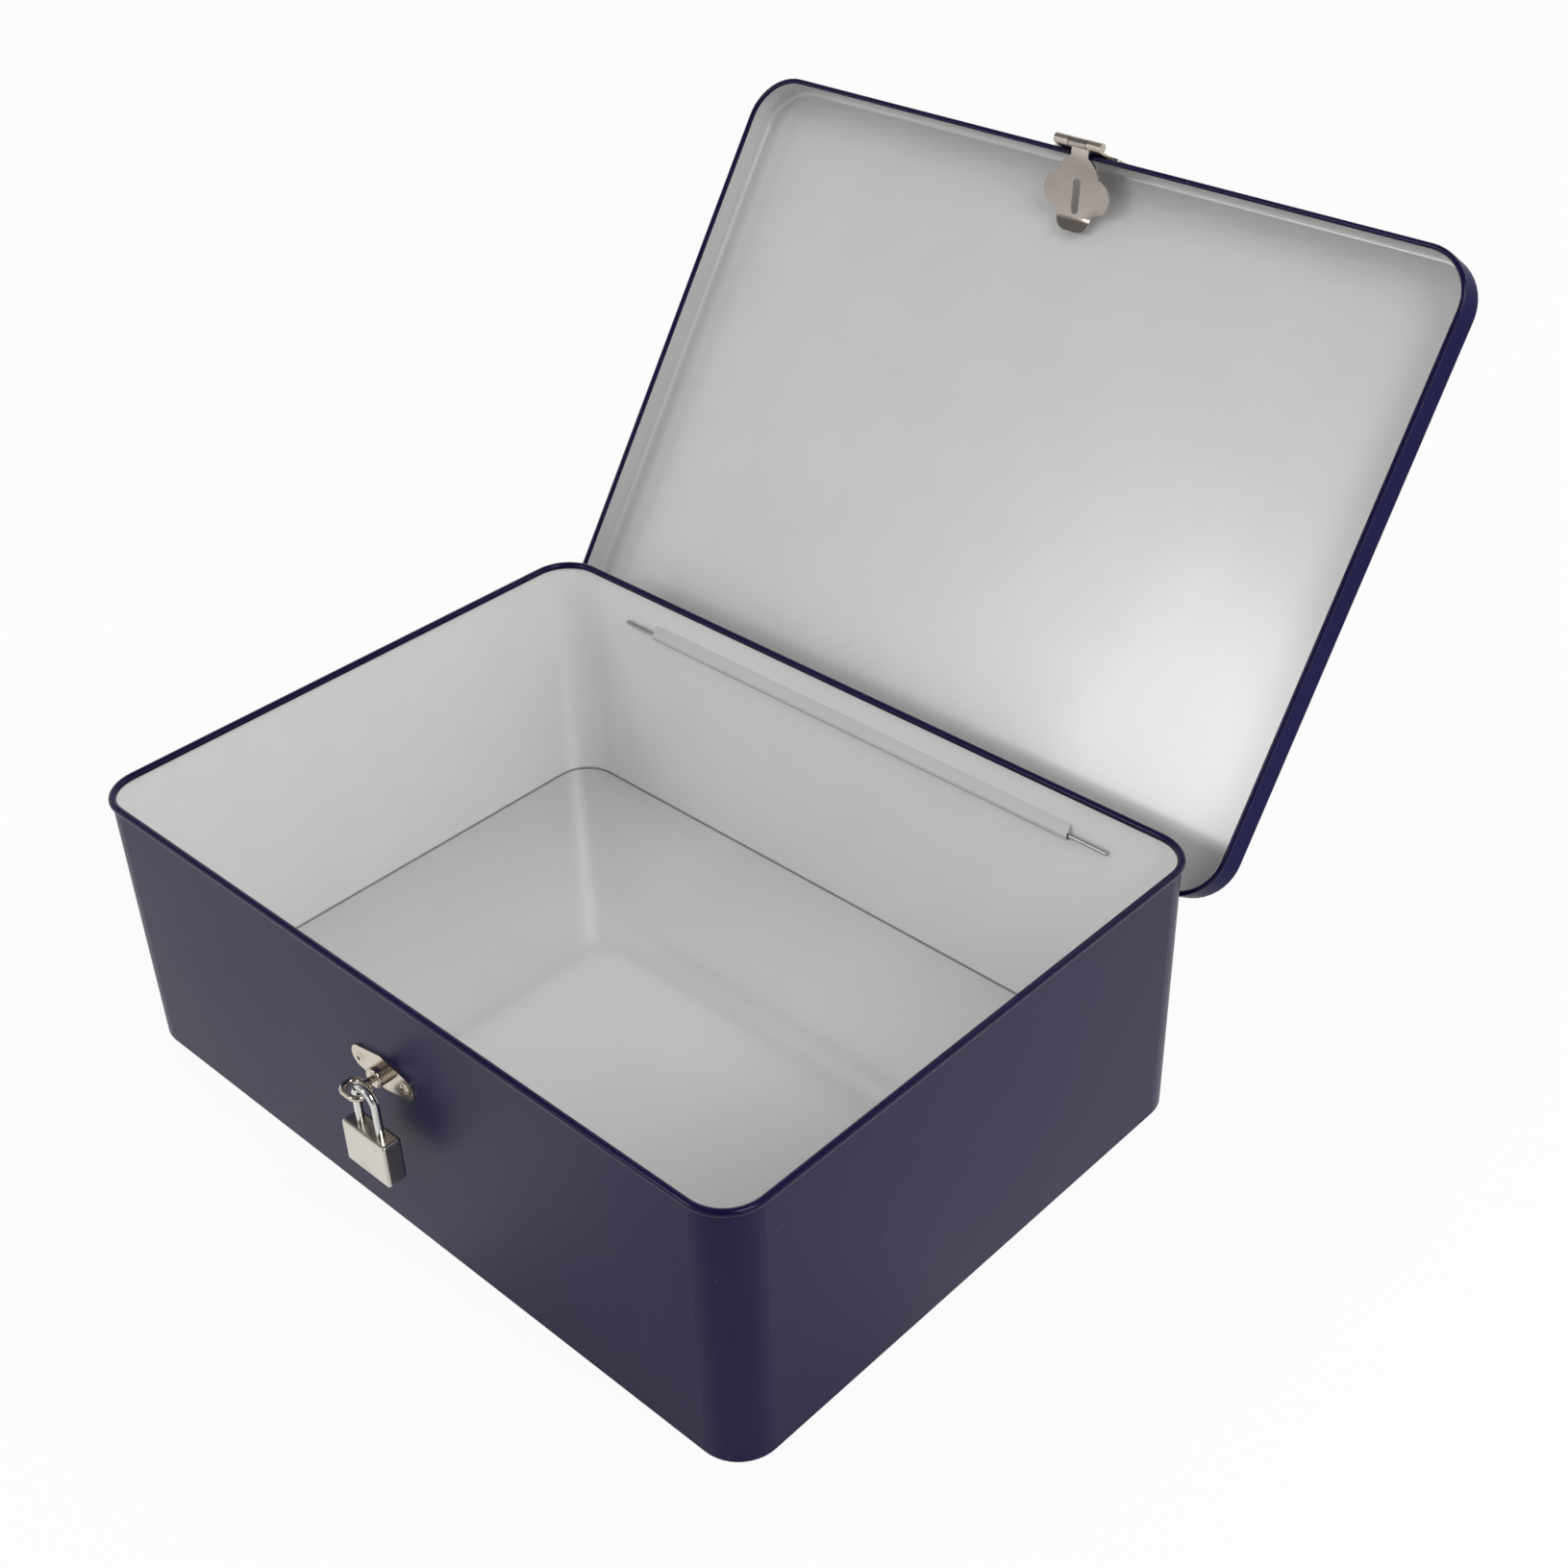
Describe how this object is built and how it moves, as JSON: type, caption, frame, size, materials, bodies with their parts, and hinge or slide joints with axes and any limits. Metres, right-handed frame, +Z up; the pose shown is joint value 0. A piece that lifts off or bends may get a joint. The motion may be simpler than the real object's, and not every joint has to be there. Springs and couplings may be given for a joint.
{
  "type": "lockable metal box",
  "caption": "Rectangular lacquered tin box with a wire-hinged lid standing open, a hasp and turning staple at the front, and a small padlock.",
  "frame": {"origin": "centre of the base underside, on the plane of the bottom hem", "axes": "+X to the right seen from the hasp side, +Y to the hinge, +Z up"},
  "size_m": [0.2924, 0.3499, 0.257],
  "materials": {
    "lacquer": "satin indigo lacquer outside, bare satin tinplate inside",
    "tinplate": "bare satin tinplate",
    "nickel": "warm nickel plate",
    "steel": "plain steel",
    "bright_steel": "polished",
    "padlock_body": "brushed warm nickel plate",
    "brass": "satin"
  },
  "bodies": {
    "box": {"body_wall": "lacquer", "bottom_pan": "tinplate", "hinge_wire": "steel", "staple_plate": "nickel", "staple_rivets": "nickel", "staple_washers": "nickel"},
    "lid": {"lid_shell": "lacquer", "hasp_plate": "nickel", "hasp_rivets": "nickel", "hasp_washers": "nickel"},
    "hasp": {"hasp_leaf": "nickel", "hasp_pin": "nickel"},
    "staple": {"staple_ring": "nickel", "staple_keeper": "nickel"},
    "shackle": {"padlock_shackle": "bright_steel"},
    "case": {"padlock_case": "padlock_body", "padlock_cover": "brass", "padlock_heel_pin": "steel", "padlock_spring": "steel"},
    "plug": {"padlock_plug": "brass"},
    "latch": {"padlock_latch": "steel"}
  },
  "joints": [
    {"name": "lid_hinge", "type": "hinge", "parent": "box", "child": "lid", "pos_m": [0, 0.1019, 0.082], "axis": [-1, 0, 0], "range_deg": [-124.3, 0]},
    {"name": "hasp_swing", "type": "hinge", "parent": "lid", "child": "hasp", "pos_m": [0, 0.21994, 0.25538], "axis": [-1, 0, 0], "range_deg": [0, 126]},
    {"name": "staple_turn", "type": "hinge", "parent": "box", "child": "staple", "pos_m": [0, -0.11351, 0.06378], "axis": [0, 1, 0], "range_deg": [0, 90]},
    {"name": "padlock_hang", "type": "hinge", "parent": "staple", "child": "shackle", "pos_m": [0.0042, -0.11351, 0.06378], "axis": [0, 1, 0], "range_deg": [-90, 0]},
    {"name": "padlock_drop", "type": "slide", "parent": "shackle", "child": "case", "axis": [0, 0, -1], "range_m": [0, 0.0053]},
    {"name": "plug_turn", "type": "hinge", "parent": "case", "child": "plug", "pos_m": [0.0022, -0.11351, 0.03498], "axis": [0, 0, 1], "range_deg": [0, 90]},
    {"name": "latch_slide", "type": "slide", "parent": "case", "child": "latch", "axis": [-1, 0, 0], "range_m": [0, 0.001]}
  ],
  "couplings": [
    {"joint": "hasp_swing", "follows": "lid_hinge", "ratio": -1.0121},
    {"joint": "padlock_hang", "follows": "staple_turn", "ratio": -1},
    {"joint": "plug_turn", "follows": "latch_slide", "rad_per_m": 1570.8}
  ]
}
